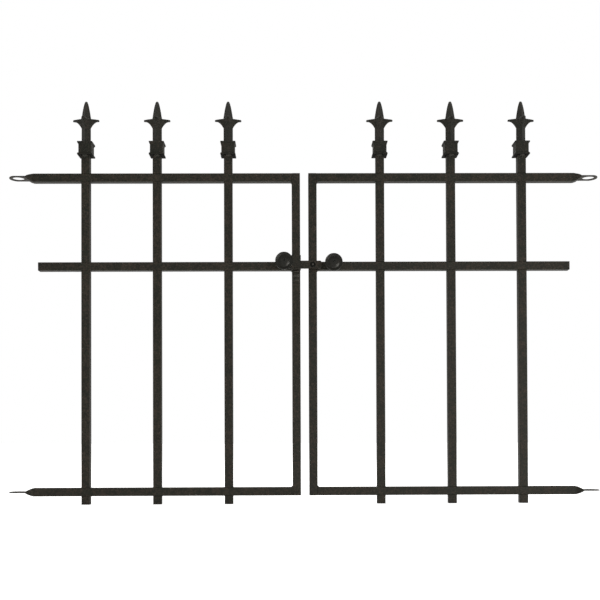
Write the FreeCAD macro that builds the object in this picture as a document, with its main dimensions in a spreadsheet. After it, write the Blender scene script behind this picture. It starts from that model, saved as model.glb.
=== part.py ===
import FreeCAD, Part

import math
import os
import re

import Sketcher

# Low double garden gate of square steel tube: two mirrored leaves, each with two hinge eyes, a stile,
# three rails and three pickets under spear finials, held shut by a pivoting latch lever.
#
# Frame: +X across the gate from the left leaf to the right leaf, +Y from the front to the back, +Z up.
# The origin is the centre of the left leaf's bottom eye, halfway through the eye's thickness.

SIZES = {
    # Overall layout. Distances run from centre line to centre line unless said otherwise.
    "picket_pitch": 137.0,
    "end_bay": 130.25,
    "stile_gap": 16.0,
    "mid_rail_rise": 433.0,
    "top_rail_rise": 604.0,
    # Square tube.
    "tube_side": 16.0,
    "tube_wall": 1.2,
    "tube_corner": 1.2,
    "plug_depth": 3.0,
    # Hinge eye at the outer end of a top or bottom rail.
    "eye_setback": 30.0,
    "taper_length": 13.0,
    "tongue_thickness": 2.0,
    "tongue_width": 32.0,
    "tongue_edge": 0.8,
    "eye_rim": 6.0,
    "eye_bore": 11.2,
    # Pickets.
    "mid_rail_setback": 39.5,
    "foot_drop": 16.0,
    "head_rise": 35.1,
    # Collar between picket and finial.
    "collar_height": 25.4,
    "collar_waist": 25.2,
    "collar_lip": 29.4,
    "lip_thickness": 2.4,
    "flare_height": 4.2,
    "flare_radius": 6.0,
    "post_socket": 12.5,
    "stem_socket": 9.0,
    "socket_play": 0.15,
    # Finial.
    "stem_side": 12.7,
    "stem_rise": 28.4,
    "crown_height": 16.3,
    "crown_reach": 25.5,
    "crown_edge": 1.8,
    "crown_root": 8.0,
    "crown_tip": 2.4,
    "crown_curve": 34.0,
    "crown_overlap": 0.5,
    "spear_height": 35.8,
    "spear_base": 9.4,
    "spear_taper": 0.98,
    # Latch lever and its pivot.
    "lever_height": 15.0,
    "lever_thickness": 3.0,
    "lever_tail": 16.5,
    "lever_nose": 9.0,
    "lever_corner": 3.0,
    "lever_rise": 0.5,
    "lever_standoff": 7.0,
    "lever_play": 0.1,
    "pivot_radius": 3.0,
    "pivot_clearance": 0.06,
    "rivet_head": 5.3,
    "rivet_dome": 2.8,
    "rivet_edge": 0.5,
    "rivet_tail_step": 1.6,
    "rivet_tail_slope": 0.6,
    "spacer_radius": 7.0,
    # Catch on the left stile.
    "catch_width": 18.0,
    "catch_metal": 2.0,
    "catch_gap": 1.5,
    "catch_rise": 10.0,
    "catch_bend": 3.0,
    # Knobs and their screws.
    "knob_to_catch": 6.5,
    "knob_to_tail": 15.3,
    "knob_length": 45.0,
    "knob_radius": 16.7,
    "knob_base": 7.2,
    "knob_base_height": 2.6,
    "knob_neck": 5.2,
    "knob_foot_slope": 1.4,
    "knob_flare_length": 18.0,
    "knob_flare_radius": 21.0,
    "rim_edge": 1.2,
    "rim_edge_radius": 1.3,
    "rim_height": 3.4,
    "rim_groove": 1.3,
    "groove_slope": 1.6,
    "dome_radius": 11.4,
    "dome_height": 6.0,
    "screw_radius": 2.4,
    "screw_play": 0.15,
    "screw_bore_play": 0.05,
    "screw_bore_spare": 1.0,
    "screw_head": 4.6,
    "screw_head_height": 2.8,
    "screw_head_ease": 1.2,
    "screw_point": 0.6,
    "screw_grip": 12.0,
    # Weld beads.
    "bead_radius": 2.0,
    "collar_bead_length": 8.0,
    "corner_bead_length": 11.0,
}

# Half the distance between the left and the right hinge axes, and the bars' distances from the gate's centre.
HALF_SPAN = "(2 * end_bay + 2 * picket_pitch + (tube_side + stile_gap) / 2)"
STILE_OFFSET = "((tube_side + stile_gap) / 2)"
PICKETS_PER_LEAF = 3
SPEAR_SECTIONS = 5
LEAVES = {"left": -1, "right": 1}

# Levels of the faces that pieces stand on.
HALF_TUBE = "(tube_side / 2)"
TOP_FACE = "(top_rail_rise + tube_side / 2)"
COLLAR_BASE = f"({TOP_FACE} + head_rise)"
STEM_BASE = f"({COLLAR_BASE} + collar_height - stem_socket)"
LEVER_LEVEL = "(mid_rail_rise + lever_rise)"

# From the lever's pivot to its own knob, clear of the catch, and to the pull knob, clear of the lever's tail.
LEVER_KNOB_REACH = "(tube_side + stile_gap + catch_width / 2 + knob_to_catch + knob_base)"
PULL_KNOB_REACH = "(lever_tail + knob_to_tail + knob_base)"

# Depths in front of the gate's middle plane, all along -Y.
LEVER_BACK = "(tube_side / 2 + lever_standoff)"
LEVER_FRONT = f"({LEVER_BACK} + lever_thickness)"

doc = FreeCAD.newDocument("garden_gate")
sheet = doc.addObject("Spreadsheet::Sheet", "Sizes")
for row, (alias, value) in enumerate(SIZES.items(), start=1):
    sheet.set(f"A{row}", str(value))
    sheet.setAlias(f"A{row}", alias)
doc.recompute()


def bound(expression):
    """The expression with every size's name turned into its cell of the sheet."""
    return re.sub(r"[a-z_]+", lambda word: f"Sizes.{word[0]}" if word[0] in SIZES else word[0], expression)


def number(expression):
    """What the expression comes to with the sheet's present values."""
    return float(sheet.evalExpression(bound(expression)))


def offset_from_centre(side, distance):
    """The place along X of something that stands at a distance from the gate's centre, on one side."""
    return f"{HALF_SPAN} + {side} * ({distance})"


def picket_offset(index):
    """A picket's distance from the gate's centre, counted from the stile outwards."""
    return f"({STILE_OFFSET} + end_bay + {index} * picket_pitch)"


def put(piece, x="0", y="0", z="0", turn=0, tilt=None):
    """Stands a piece at a place given by expressions, turned about Z, or by a whole rotation."""
    rotation = tilt or FreeCAD.Rotation(FreeCAD.Vector(0, 0, 1), turn)
    piece.Placement = FreeCAD.Placement(FreeCAD.Vector(0, 0, 0), rotation)
    for axis, place in zip("xyz", (x, y, z)):
        piece.setExpression(f"Placement.Base.{axis}", bound(place))
    return piece


def new_body(name):
    return doc.addObject("PartDesign::Body", name)


def new_sketch(body, plane, offset="0"):
    """A sketch on one of the body's own origin planes, moved along that plane's normal."""
    sketch = body.newObject("Sketcher::SketchObject", f"{body.Name}_sketch")
    support = next(f for f in body.Origin.OriginFeatures if f.Role == plane)
    sketch.AttachmentSupport = [(support, "")]
    sketch.MapMode = "FlatFace"
    sketch.setExpression("AttachmentOffset.Base.z", bound(offset))
    return sketch


def pin_down(sketch, curve, end, x, y):
    """Holds one end of a curve at a place whose two coordinates are expressions."""
    for kind, expression, axis_curve in (("DistanceX", x, -2), ("DistanceY", y, -1)):
        distance = number(expression)
        if abs(distance) < 1e-9:
            sketch.addConstraint(Sketcher.Constraint("PointOnObject", curve, end, axis_curve))
        else:
            index = sketch.addConstraint(Sketcher.Constraint(kind, -1, 1, curve, end, distance))
            sketch.setExpression(f"Constraints[{index}]", bound(expression))


def arc_between(start, end, radius, bulge):
    """The shorter arc between two points; bulge is 1 where it passes to the right of the chord, else -1."""
    chord = end - start
    middle = (start + end) / 2
    rise = math.sqrt(max(radius**2 - (chord.Length / 2) ** 2, 0.0))
    left = FreeCAD.Vector(-chord.y, chord.x, 0).normalize()
    centre = middle + left * rise * bulge
    outward = (middle - centre).normalize() if rise > 1e-9 else -left * bulge
    return Part.Arc(start, centre + outward * radius, end)


def closed_outline(sketch, corners):
    """Draws a closed outline. A corner is (x, y), or (x, y, radius, bulge) where an arc leaves it."""
    points = [FreeCAD.Vector(number(c[0]), number(c[1]), 0) for c in corners]
    for index, corner in enumerate(corners):
        start = points[index]
        end = points[(index + 1) % len(points)]
        if len(corner) == 2:
            curve = sketch.addGeometry(Part.LineSegment(start, end))
            first, last = 1, 2
        else:
            arc = arc_between(start, end, number(corner[2]), corner[3])
            curve = sketch.addGeometry(arc)
            first, last = (1, 2) if corner[3] > 0 else (2, 1)
            radius = sketch.addConstraint(Sketcher.Constraint("Radius", curve, number(corner[2])))
            sketch.setExpression(f"Constraints[{radius}]", bound(corner[2]))
        pin_down(sketch, curve, first, corner[0], corner[1])
        following = corners[(index + 1) % len(corners)]
        pin_down(sketch, curve, last, following[0], following[1])


def circle(sketch, x, y, radius):
    centre = FreeCAD.Vector(number(x), number(y), 0)
    curve = sketch.addGeometry(Part.Circle(centre, FreeCAD.Vector(0, 0, 1), number(radius)))
    pin_down(sketch, curve, 3, x, y)
    index = sketch.addConstraint(Sketcher.Constraint("Radius", curve, number(radius)))
    sketch.setExpression(f"Constraints[{index}]", bound(radius))


def rectangle(sketch, width, height):
    """A rectangle about the sketch's origin."""
    x, y = f"{width} / 2", f"{height} / 2"
    closed_outline(sketch, [(x, y), (f"-{x}", y), (f"-{x}", f"-{y}"), (x, f"-{y}")])


def rounded_rectangle(sketch, width, height, radius):
    """A rectangle about the sketch's origin, with round corners."""
    x, y = f"({width} / 2)", f"({height} / 2)"
    corners = []
    for sign_x, sign_y in ((1, 1), (-1, 1), (-1, -1), (1, -1)):
        on_side = (f"{sign_x} * {x}", f"{sign_y} * ({y} - {radius})")
        on_cap = (f"{sign_x} * ({x} - {radius})", f"{sign_y} * {y}")
        before, after = (on_side, on_cap) if sign_x * sign_y > 0 else (on_cap, on_side)
        corners += [before + (radius, 1), after]
    closed_outline(sketch, corners)


def diamond(sketch, half_diagonal):
    """A square standing on its corner, about the sketch's origin."""
    d = half_diagonal
    closed_outline(sketch, [(d, "0"), ("0", d), (f"-{d}", "0"), ("0", f"-{d}")])


def pad(body, sketch, length, both_ways=False, backwards=False):
    feature = body.newObject("PartDesign::Pad", f"{body.Name}_pad")
    feature.Profile = sketch
    feature.SideType = "Symmetric" if both_ways else "One side"
    feature.Reversed = backwards
    feature.setExpression("Length", bound(length))
    return feature


def pocket(body, sketch, length, both_ways=False, backwards=False):
    feature = body.newObject("PartDesign::Pocket", f"{body.Name}_pocket")
    feature.Profile = sketch
    feature.SideType = "Symmetric" if both_ways else "One side"
    feature.Reversed = backwards
    feature.setExpression("Length", bound(length))
    return feature


def dome_curve(radius, height):
    """The radius of the sphere that a dome of this base radius and height is cut from."""
    return f"(({radius} ^ 2 + {height} ^ 2) / (2 * {height}))"


def revolve(body, sketch):
    """Turns a half outline in the XZ plane once round the body's Z axis."""
    feature = body.newObject("PartDesign::Revolution", f"{body.Name}_turned")
    feature.Profile = sketch
    feature.ReferenceAxis = (sketch, ["V_Axis"])
    feature.Angle = 360
    return feature


def square_tube(name, length, plane="XY_Plane", start="0"):
    """A length of square tube along the plane's normal, open at both ends."""
    body = new_body(name)
    section = new_sketch(body, plane, start)
    rounded_rectangle(section, "tube_side", "tube_side", "tube_corner")
    rectangle(section, "(tube_side - 2 * tube_wall)", "(tube_side - 2 * tube_wall)")
    pad(body, section, length)
    return body


def cross_hole(body, x, z, radius):
    """A hole through both walls of a tube from front to back."""
    drill = new_sketch(body, "XZ_Plane")
    circle(drill, x, z, radius)
    pocket(body, drill, "2 * tube_side", both_ways=True)


def rail(name, side, level, setback):
    """A straight rail from the stile's face outwards, ending a setback short of the hinge axis."""
    length = f"({HALF_SPAN} - {STILE_OFFSET} - {HALF_TUBE} - {setback})"
    body = square_tube(name, length, "YZ_Plane", setback)
    return put(body, offset_from_centre(side, HALF_SPAN), z=level, turn=90 - 90 * -side)


def pull_knob_rail(name, side):
    """The middle rail of the leaf that carries the fixed knob, drilled for the knob's screw."""
    body = rail(name, side, "mid_rail_rise", "mid_rail_setback")
    knob_place = f"({HALF_SPAN} - {STILE_OFFSET} - {PULL_KNOB_REACH})"
    cross_hole(body, knob_place, "0", "(screw_radius + screw_play)")
    return body


def hinge_eye(name, side, level):
    """The end of an outer rail: a taper from the full tube down to a flat tongue, bored on the hinge axis."""
    body = new_body(name)
    full_end = new_sketch(body, "YZ_Plane", "eye_setback")
    rounded_rectangle(full_end, "tube_side", "tube_side", "tube_corner")
    flat_end = new_sketch(body, "YZ_Plane", "(eye_setback - taper_length)")
    rounded_rectangle(flat_end, "tongue_width", "tongue_thickness", "tongue_edge")
    taper = body.newObject("PartDesign::AdditiveLoft", f"{name}_taper")
    taper.Profile = full_end
    taper.Sections = [flat_end]
    tongue = new_sketch(body, "XY_Plane")
    neck = "(eye_setback - taper_length)"
    half_width = "(tongue_width / 2)"
    reach = "(eye_bore + eye_rim)"
    shoulder = f"sqrt({reach} ^ 2 - {half_width} ^ 2)"
    closed_outline(tongue, [
        (neck, f"-{half_width}"),
        (neck, half_width),
        (f"-{shoulder}", half_width, reach, 1),
        (f"-{reach}", "0", reach, 1),
        (f"-{shoulder}", f"-{half_width}"),
    ])
    circle(tongue, "0", "0", "eye_bore")
    pad(body, tongue, "tongue_thickness", both_ways=True)
    return put(body, offset_from_centre(side, HALF_SPAN), z=level, turn=90 - 90 * -side)


def stile(name, side):
    """The upright at the gate's middle, which runs past the ends of all three rails."""
    body = square_tube(name, "(top_rail_rise + tube_side)")
    if side == LEAVES["right"]:
        cross_hole(body, "0", f"({LEVER_LEVEL} + {HALF_TUBE})", "(pivot_radius + pivot_clearance)")
    return put(body, offset_from_centre(side, STILE_OFFSET), z=f"-{HALF_TUBE}")


def picket_bars(leaf, side, index):
    """One picket's four lengths of tube, butted against the rails' upper and lower faces."""
    label = f"{leaf}_picket_{index + 1}"
    place = offset_from_centre(side, picket_offset(index))
    spans = {
        "foot": (f"-({HALF_TUBE} + foot_drop)", "foot_drop"),
        "lower_bar": (HALF_TUBE, "(mid_rail_rise - tube_side)"),
        "upper_bar": (f"(mid_rail_rise + {HALF_TUBE})", "(top_rail_rise - mid_rail_rise - tube_side)"),
        "head": (TOP_FACE, "(head_rise + post_socket)"),
    }
    bars = []
    for bar, (base, length) in spans.items():
        bars.append(put(square_tube(f"{label}_{bar}", length), place, z=base))
    return bars


def flared_profile(sketch):
    """The collar's side view: a straight waist between two flared lips."""
    lip, waist = "(collar_lip / 2)", "(collar_waist / 2)"
    low_flare = "(lip_thickness + flare_height)"
    right = [
        (lip, "0"),
        (lip, "lip_thickness", "flare_radius", -1),
        (waist, low_flare),
        (waist, f"(collar_height - {low_flare})", "flare_radius", -1),
        (lip, "(collar_height - lip_thickness)"),
        (lip, "collar_height"),
    ]
    left = [
        (f"-{lip}", "collar_height"),
        (f"-{lip}", "(collar_height - lip_thickness)", "flare_radius", -1),
        (f"-{waist}", f"(collar_height - {low_flare})"),
        (f"-{waist}", low_flare, "flare_radius", -1),
        (f"-{lip}", "lip_thickness"),
        (f"-{lip}", "0"),
    ]
    closed_outline(sketch, right + left)


def collar(name, place):
    """A square collar, waisted on all four sides, with a socket for the picket and one for the stem."""
    body = new_body(name)
    side_view = new_sketch(body, "XZ_Plane")
    flared_profile(side_view)
    pad(body, side_view, "collar_lip", both_ways=True)
    end_view = new_sketch(body, "YZ_Plane")
    flared_profile(end_view)
    margin = "collar_lip"
    closed_outline(end_view, [
        (margin, f"-{margin}"),
        (margin, f"(collar_height + {margin})"),
        (f"-{margin}", f"(collar_height + {margin})"),
        (f"-{margin}", f"-{margin}"),
    ])
    pocket(body, end_view, "2 * collar_lip", both_ways=True)
    post_hole = new_sketch(body, "XY_Plane")
    rectangle(post_hole, "(tube_side + 2 * socket_play)", "(tube_side + 2 * socket_play)")
    pocket(body, post_hole, "post_socket", backwards=True)
    stem_hole = new_sketch(body, "XY_Plane", "collar_height")
    diamond(stem_hole, "(stem_side / sqrt(2) + socket_play)")
    pocket(body, stem_hole, "stem_socket")
    return put(body, place, z=COLLAR_BASE)


def crown_profile(sketch):
    """Two opposite leaves of the crown seen from the side: flat on top, hollow underneath."""
    top = "(stem_socket + stem_rise + crown_height)"
    root = "(stem_socket + stem_rise)"
    stem = "(stem_side / sqrt(2) - crown_overlap)"
    closed_outline(sketch, [
        (stem, root, "crown_curve", -1),
        ("crown_reach", f"({top} - crown_edge)"),
        ("crown_reach", top),
        ("-crown_reach", top),
        ("-crown_reach", f"({top} - crown_edge)", "crown_curve", -1),
        (f"-{stem}", root),
    ])


def crown_plan(sketch):
    """The crown seen from above: a four-pointed star with blunt tips, inside a larger square."""
    tip, root, reach = "crown_tip", "crown_root", "crown_reach"
    quarter = [(reach, f"-{tip}"), (reach, tip), (root, root)]
    star = []
    for _ in range(4):
        star += quarter
        quarter = [(f"-({y})", x) for x, y in quarter]
    closed_outline(sketch, star)
    rectangle(sketch, "(3 * crown_reach)", "(3 * crown_reach)")


def finial(name, place):
    """A cast spear finial: square stem set cornerwise, crown of four leaves, four-sided spear."""
    body = new_body(name)
    stem = new_sketch(body, "XY_Plane")
    diamond(stem, "(stem_side / sqrt(2))")
    pad(body, stem, "(stem_socket + stem_rise + crown_height)")
    for plane in ("XZ_Plane", "YZ_Plane"):
        leaves = new_sketch(body, plane)
        crown_profile(leaves)
        pad(body, leaves, "(2 * crown_root)", both_ways=True)
    outside = new_sketch(body, "XY_Plane", "(stem_socket + stem_rise + crown_height)")
    crown_plan(outside)
    pocket(body, outside, "crown_height")
    sections = []
    for step in range(SPEAR_SECTIONS):
        share = step / (SPEAR_SECTIONS - 1)
        level = f"(stem_socket + stem_rise + crown_height + {share} * spear_height)"
        section = new_sketch(body, "XY_Plane", level)
        diamond(section, f"(spear_base * sqrt(1 - spear_taper * {share}))")
        sections.append(section)
    spear = body.newObject("PartDesign::AdditiveLoft", f"{name}_spear")
    spear.Profile = sections[0]
    spear.Sections = sections[1:]
    return put(body, place, z=STEM_BASE)


def latch_lever(name):
    """The flat lever: pivot hole at its right, a screw hole for the knob near its left end."""
    body = new_body(name)
    outline = new_sketch(body, "XZ_Plane")
    half = "(lever_height / 2)"
    nose = f"({LEVER_KNOB_REACH} + lever_nose)"
    cut = "lever_corner"
    closed_outline(outline, [
        ("lever_tail", f"-({half} - {cut})"),
        ("lever_tail", f"({half} - {cut})", cut, 1),
        (f"(lever_tail - {cut})", half),
        (f"-({nose} - {cut})", half, cut, 1),
        (f"-{nose}", f"({half} - {cut})"),
        (f"-{nose}", f"-({half} - {cut})", cut, 1),
        (f"-({nose} - {cut})", f"-{half}"),
        (f"(lever_tail - {cut})", f"-{half}", cut, 1),
    ])
    circle(outline, "0", "0", "(pivot_radius + pivot_clearance)")
    circle(outline, f"-{LEVER_KNOB_REACH}", "0", "(screw_radius + screw_play)")
    pad(body, outline, "lever_thickness")
    return put(body, offset_from_centre(1, STILE_OFFSET), f"-{LEVER_BACK}", LEVER_LEVEL)


def facing_front():
    """The rotation that points a piece's own +Z towards the front of the gate."""
    return FreeCAD.Rotation(FreeCAD.Vector(1, 0, 0), 90)


def pivot_rivet(name):
    """The rivet that the lever turns on, headed over in front of the lever and behind the stile."""
    body = new_body(name)
    outline = new_sketch(body, "XZ_Plane")
    back = f"-{HALF_TUBE}"
    front = f"({LEVER_FRONT} + lever_play)"
    closed_outline(outline, [
        ("0", f"({back} - rivet_dome)"),
        ("(rivet_head - rivet_tail_step)", f"({back} - rivet_dome + rivet_tail_slope)"),
        ("rivet_head", back),
        ("pivot_radius", back),
        ("pivot_radius", front),
        ("rivet_head", front),
        ("rivet_head", f"({front} + rivet_edge)", dome_curve("rivet_head", "rivet_dome"), 1),
        ("0", f"({front} + rivet_edge + rivet_dome)"),
    ])
    revolve(body, outline)
    return put(body, offset_from_centre(1, STILE_OFFSET), "0", LEVER_LEVEL, tilt=facing_front())


def pivot_spacer(name):
    """The washer that holds the lever off the stile's face."""
    body = new_body(name)
    ring = new_sketch(body, "XY_Plane")
    circle(ring, "0", "0", "spacer_radius")
    circle(ring, "0", "0", "(pivot_radius + pivot_clearance)")
    pad(body, ring, "(lever_standoff - lever_play)")
    return put(body, offset_from_centre(1, STILE_OFFSET), f"-{HALF_TUBE}", LEVER_LEVEL, tilt=facing_front())


def catch(name):
    """The bent strip on the left stile that the lever drops into, open at the top."""
    body = new_body(name)
    section = new_sketch(body, "YZ_Plane")
    floor = "(lever_height / 2)"
    depth = f"(lever_standoff + lever_thickness + catch_gap + catch_metal)"
    inner_bend = "(catch_bend - catch_metal)"
    closed_outline(section, [
        ("0", f"-({floor} + catch_metal)"),
        ("0", f"({floor} + catch_rise)"),
        ("-catch_metal", f"({floor} + catch_rise)"),
        ("-catch_metal", f"-({floor})"),
        (f"-({depth} - catch_bend)", f"-({floor})", inner_bend, 1),
        (f"-({depth} - catch_metal)", f"-({floor} - {inner_bend})"),
        (f"-({depth} - catch_metal)", f"({floor} + catch_rise)"),
        (f"-{depth}", f"({floor} + catch_rise)"),
        (f"-{depth}", f"-({floor} - {inner_bend})", "catch_bend", -1),
        (f"-({depth} - catch_bend)", f"-({floor} + catch_metal)"),
    ])
    pad(body, section, "catch_width", both_ways=True)
    return put(body, offset_from_centre(-1, STILE_OFFSET), f"-{HALF_TUBE}", LEVER_LEVEL)


def knob(name, x, y, z):
    """A turned knob: round foot, thin neck, wide rimmed head with a low dome inside a groove."""
    body = new_body(name)
    outline = new_sketch(body, "XZ_Plane")
    rim_top = "(knob_length - dome_height)"
    rim_foot = f"({rim_top} - rim_height)"
    bore = "(screw_radius + screw_bore_play)"
    bore_depth = "(screw_grip + screw_bore_spare)"
    closed_outline(outline, [
        ("0", bore_depth),
        (bore, bore_depth),
        (bore, "0"),
        ("knob_base", "0"),
        ("knob_base", "knob_base_height"),
        ("knob_neck", "(knob_base_height + knob_foot_slope)"),
        ("knob_neck", f"({rim_foot} - knob_flare_length)", "knob_flare_radius", -1),
        ("knob_radius", rim_foot),
        ("knob_radius", f"({rim_top} - rim_edge)", "rim_edge_radius", 1),
        ("(knob_radius - rim_edge)", rim_top),
        ("(dome_radius + groove_slope)", rim_top),
        ("dome_radius", f"({rim_top} - rim_groove)"),
        ("dome_radius", rim_top, dome_curve("dome_radius", "dome_height"), 1),
        ("0", "knob_length"),
    ])
    revolve(body, outline)
    return put(body, x, y, z, tilt=facing_front())


def knob_screw(name, grip, x, y, z):
    """A pan-head screw whose shank goes through the grip and on into the knob's foot."""
    body = new_body(name)
    outline = new_sketch(body, "XZ_Plane")
    closed_outline(outline, [
        ("0", "-screw_head_height"),
        ("(screw_head - screw_head_ease)", "-screw_head_height"),
        ("screw_head", "-(screw_head_height - screw_head_ease)"),
        ("screw_head", "0"),
        ("screw_radius", "0"),
        ("screw_radius", f"({grip} + screw_grip - screw_point)"),
        ("(screw_radius - screw_point)", f"({grip} + screw_grip)"),
        ("0", f"({grip} + screw_grip)"),
    ])
    revolve(body, outline)
    return put(body, x, y, z, tilt=facing_front())


def bead(name, length, x, y, z, tilt):
    """A quarter-round weld bead in the corner of two faces."""
    piece = doc.addObject("Part::Cylinder", name)
    piece.Angle = 90
    piece.setExpression("Radius", bound("bead_radius"))
    piece.setExpression("Height", bound(length))
    return put(piece, x, y, z, tilt=tilt)


def weld_beads(name, leaf, side):
    """All the weld beads of one leaf: under each collar, and in the corners beside the stile."""
    beads = []
    under_collar = FreeCAD.Rotation(FreeCAD.Matrix(0, 0, 1, 0, -1, 0, 0, 0, 0, -1, 0, 0, 0, 0, 0, 1))
    for index in range(PICKETS_PER_LEAF):
        middle = offset_from_centre(side, picket_offset(index))
        beads.append(bead(f"{leaf}_collar_bead_{index + 1}", "collar_bead_length",
                          f"{middle} - collar_bead_length / 2", f"-{HALF_TUBE}", COLLAR_BASE, under_collar))
    inner_face = offset_from_centre(side, f"({STILE_OFFSET} + {HALF_TUBE})")
    corners = {
        "bottom": (HALF_TUBE, 1),
        "mid_lower": (f"(mid_rail_rise - {HALF_TUBE})", -1),
        "mid_upper": (f"(mid_rail_rise + {HALF_TUBE})", 1),
        "top": (f"(top_rail_rise - {HALF_TUBE})", -1),
    }
    for corner, (level, upward) in corners.items():
        along_y = FreeCAD.Rotation(FreeCAD.Matrix(side, 0, 0, 0, 0, 0, -side * upward, 0, 0, upward, 0, 0,
                                                  0, 0, 0, 1))
        start = f"{side * upward} * corner_bead_length / 2"
        beads.append(bead(f"{leaf}_{corner}_bead", "corner_bead_length", inner_face, start, level, along_y))
    group = doc.addObject("Part::Compound", name)
    group.Links = beads
    return group


def end_plugs(name, leaf, side):
    """Plugs in one leaf's open tube ends: the picket feet, the stile's two ends, the middle rail's end."""
    inner = "(tube_side - 2 * tube_wall)"
    stile_place = offset_from_centre(side, STILE_OFFSET)
    rail_end = offset_from_centre(side, f"({HALF_SPAN} - mid_rail_setback - plug_depth / 2)")
    upright = (inner, inner, "plug_depth")
    lying = ("plug_depth", inner, inner)
    places = {
        "stile_bottom_plug": (stile_place, f"(plug_depth / 2 - {HALF_TUBE})", upright),
        "stile_top_plug": (stile_place, f"({TOP_FACE} - plug_depth / 2)", upright),
        "rail_plug": (rail_end, "mid_rail_rise", lying),
    }
    for index in range(PICKETS_PER_LEAF):
        place = offset_from_centre(side, picket_offset(index))
        places[f"foot_plug_{index + 1}"] = (place, f"(plug_depth / 2 - {HALF_TUBE} - foot_drop)", upright)
    plugs = []
    for label, (x, z, dimensions) in places.items():
        plug = doc.addObject("Part::Box", f"{leaf}_{label}")
        for edge, dimension in zip(("Length", "Width", "Height"), dimensions):
            plug.setExpression(edge, bound(dimension))
        length, width, height = dimensions
        put(plug, f"({x}) - {length} / 2", f"-{width} / 2", f"({z}) - {height} / 2")
        plugs.append(plug)
    group = doc.addObject("Part::Compound", name)
    group.Links = plugs
    return group


def build_leaf(leaf, side):
    """Every piece of one leaf's frame."""
    pieces = [stile(f"{leaf}_stile", side)]
    for rail_name, level in (("bottom", "0"), ("top", "top_rail_rise")):
        pieces.append(rail(f"{leaf}_{rail_name}_rail", side, level, "eye_setback"))
        pieces.append(hinge_eye(f"{leaf}_{rail_name}_eye", side, level))
    if side == LEAVES["right"]:
        pieces.append(pull_knob_rail(f"{leaf}_mid_rail", side))
    else:
        pieces.append(rail(f"{leaf}_mid_rail", side, "mid_rail_rise", "mid_rail_setback"))
    for index in range(PICKETS_PER_LEAF):
        place = offset_from_centre(side, picket_offset(index))
        pieces += picket_bars(leaf, side, index)
        pieces.append(collar(f"{leaf}_collar_{index + 1}", place))
        pieces.append(finial(f"{leaf}_finial_{index + 1}", place))
    pieces.append(end_plugs(f"{leaf}_end_plugs", leaf, side))
    pieces.append(weld_beads(f"{leaf}_weld_beads", leaf, side))
    return pieces


def build_latch():
    """The lever with its knob, its pivot on the right stile, the catch and the fixed pull knob."""
    lever_knob_x = offset_from_centre(1, f"({STILE_OFFSET} - {LEVER_KNOB_REACH})")
    pull_knob_x = offset_from_centre(1, f"({STILE_OFFSET} + {PULL_KNOB_REACH})")
    return [
        latch_lever("latch_lever"),
        pivot_rivet("pivot_rivet"),
        pivot_spacer("pivot_spacer"),
        catch("catch"),
        knob("lever_knob", lever_knob_x, f"-{LEVER_FRONT}", LEVER_LEVEL),
        knob_screw("lever_knob_screw", "lever_thickness", lever_knob_x, f"-{LEVER_BACK}", LEVER_LEVEL),
        knob("pull_knob", pull_knob_x, f"-{HALF_TUBE}", "mid_rail_rise"),
        knob_screw("pull_knob_screw", "tube_side", pull_knob_x, HALF_TUBE, "mid_rail_rise"),
    ]


pieces = []
for leaf, side in LEAVES.items():
    pieces += build_leaf(leaf, side)
pieces += build_latch()
doc.recompute()

for item in doc.Objects:
    if {"Invalid", "Error"} & set(item.State):
        raise RuntimeError(f"{item.Name} failed: {item.State}")
for piece in pieces:
    if piece.Shape.isNull() or not piece.Shape.isValid():
        raise RuntimeError(f"{piece.Label} has no valid shape")

os.makedirs("parts", exist_ok=True)
for piece in pieces:
    piece.Shape.exportStep(f"parts/{piece.Label}.step")
print(f"{len(pieces)} pieces written")
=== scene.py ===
import math
import random

import bmesh
import bpy
from mathutils import Matrix, Vector


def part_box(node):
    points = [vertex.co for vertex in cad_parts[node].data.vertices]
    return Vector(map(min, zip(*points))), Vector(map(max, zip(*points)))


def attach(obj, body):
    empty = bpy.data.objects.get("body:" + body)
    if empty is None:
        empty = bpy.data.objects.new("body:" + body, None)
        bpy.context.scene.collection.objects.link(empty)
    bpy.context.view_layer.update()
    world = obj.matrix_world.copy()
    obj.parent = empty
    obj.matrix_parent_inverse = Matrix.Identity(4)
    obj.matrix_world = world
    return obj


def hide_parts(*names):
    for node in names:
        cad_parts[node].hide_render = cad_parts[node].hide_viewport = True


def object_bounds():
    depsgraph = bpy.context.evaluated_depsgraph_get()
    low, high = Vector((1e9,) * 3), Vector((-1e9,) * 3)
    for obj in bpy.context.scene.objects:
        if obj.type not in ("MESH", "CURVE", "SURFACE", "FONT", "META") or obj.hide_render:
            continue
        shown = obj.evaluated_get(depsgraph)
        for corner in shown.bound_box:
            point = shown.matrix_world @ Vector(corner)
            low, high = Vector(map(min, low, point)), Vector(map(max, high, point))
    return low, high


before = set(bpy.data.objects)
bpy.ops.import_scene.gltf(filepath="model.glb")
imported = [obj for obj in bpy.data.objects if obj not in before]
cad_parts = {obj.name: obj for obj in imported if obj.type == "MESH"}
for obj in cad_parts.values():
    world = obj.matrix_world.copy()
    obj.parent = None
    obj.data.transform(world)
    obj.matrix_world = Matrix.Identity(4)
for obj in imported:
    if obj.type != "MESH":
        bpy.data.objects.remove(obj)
CAD_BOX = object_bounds()

MM = 0.001
FRONT = Vector((0, -1, 0))
LEAVES = {"left": "left_leaf", "right": "right_leaf"}
PICKETS = (1, 2, 3)
OUTWARD = {"left": -1, "right": 1}      # the way along X from the meeting stiles to each leaf's own pickets

TUBE_HALF = 8.0                         # half the side of the square tube, in mm
RIVET_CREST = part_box("pivot_rivet")[0].y        # the foremost point of the rivet's head


# ---------------------------------------------------------------- shader maths

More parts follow.
